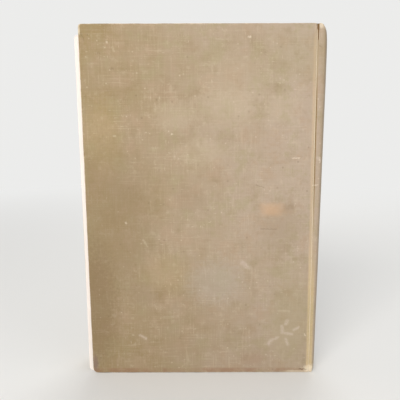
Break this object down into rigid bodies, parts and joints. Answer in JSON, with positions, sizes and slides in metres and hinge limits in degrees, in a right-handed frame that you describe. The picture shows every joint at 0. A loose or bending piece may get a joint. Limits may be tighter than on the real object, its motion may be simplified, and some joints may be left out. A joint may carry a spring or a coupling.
{
  "type": "hardback book",
  "caption": "Worn hardback book in plain faded olive cloth, standing closed on its tail, with rounded spine, dropped text block and two hinged covers.",
  "frame": {"origin": "under the middle of the book's bounding box, on the surface that it stands on", "axes": "+Z from tail to head, +X from the fore-edge to the spine, +Y from the back cover to the front cover"},
  "size_m": [0.1656, 0.0322, 0.24],
  "materials": {
    "book_cloth": "matte",
    "leaves": "matte",
    "flyleaf": "matte",
    "endpaper": "matte",
    "gauze": "matte",
    "kraft_paper": "matte",
    "millboard": "matte"
  },
  "bodies": {
    "block": {"text_block": "leaves", "back_flyleaf": "flyleaf", "front_flyleaf": "flyleaf", "mull": "gauze", "spine_lining": "kraft_paper", "spine_strip": "millboard", "spine_cloth": "book_cloth"},
    "back_cover": {"back_board": "millboard", "back_cloth": "book_cloth", "back_mull_flange": "gauze", "back_pastedown": "endpaper"},
    "front_cover": {"front_board": "millboard", "front_cloth": "book_cloth", "front_mull_flange": "gauze", "front_pastedown": "endpaper"}
  },
  "joints": [
    {"name": "back_hinge", "type": "hinge", "parent": "block", "child": "back_cover", "pos_m": [0.07685, -0.0161, 0], "axis": [-0.0133, 0, 0.9999], "range_deg": [0, 178]},
    {"name": "front_hinge", "type": "hinge", "parent": "block", "child": "front_cover", "pos_m": [0.07685, 0.0161, 0], "axis": [0.0133, 0, -0.9999], "range_deg": [0, 178]}
  ]
}
